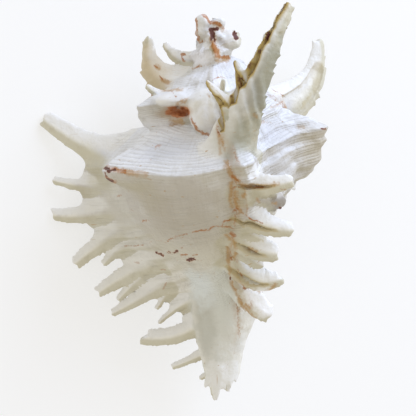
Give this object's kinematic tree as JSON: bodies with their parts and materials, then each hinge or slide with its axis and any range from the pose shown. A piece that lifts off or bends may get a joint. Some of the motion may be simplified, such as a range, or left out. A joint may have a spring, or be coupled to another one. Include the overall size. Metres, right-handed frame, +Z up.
{
  "type": "ramose murex shell",
  "caption": "Large spiral sea shell with frilled fronds along its varices, a low spire, a wide flared lip and a slit canal.",
  "frame": {"origin": "middle of the bounding box's bottom, on the table that the shell lies on, mouth down", "axes": "+Z up from the table, +Y along the shell towards the apex, -Y towards the canal, -X towards the lip's fronds"},
  "size_m": [0.156, 0.1996, 0.1007],
  "materials": {
    "shell": "matte chalky outside, glossy inside the mouth"
  },
  "bodies": {
    "root": {"shell": "shell"}
  },
  "joints": []
}
